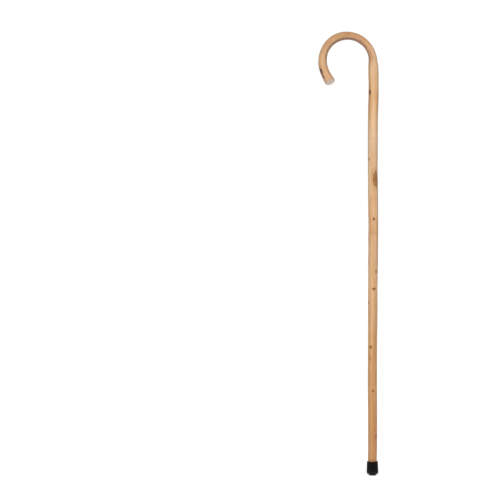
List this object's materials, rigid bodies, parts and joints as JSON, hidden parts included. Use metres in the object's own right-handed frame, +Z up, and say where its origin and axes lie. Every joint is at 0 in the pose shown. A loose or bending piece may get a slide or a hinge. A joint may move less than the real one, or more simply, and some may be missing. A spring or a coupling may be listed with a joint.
{
  "type": "single point cane",
  "caption": "Varnished wooden walking cane, steam-bent into a crook handle, with a pull-off black rubber ferrule that grips the ground.",
  "frame": {"origin": "centre of the rubber ferrule's flat ground face", "axes": "+Z up along the shaft, -X towards the open side of the crook, Y across the crook's plane, with the nose of the crook leaning towards -Y"},
  "size_m": [0.125, 0.0357, 0.915],
  "materials": {
    "varnished_wood": "light natural hardwood, bark removed, sanded and satin varnished",
    "black_rubber": "satin moulded rubber",
    "washer_steel": "zinc-plated"
  },
  "bodies": {
    "stick": {"wooden_stick": "varnished_wood"},
    "ferrule": {"rubber_ferrule": "black_rubber", "steel_washer": "washer_steel"}
  },
  "joints": [
    {"name": "ferrule_pull_off", "type": "slide", "parent": "stick", "child": "ferrule", "axis": [0, 0, -1], "range_m": [0, 0.03]}
  ]
}
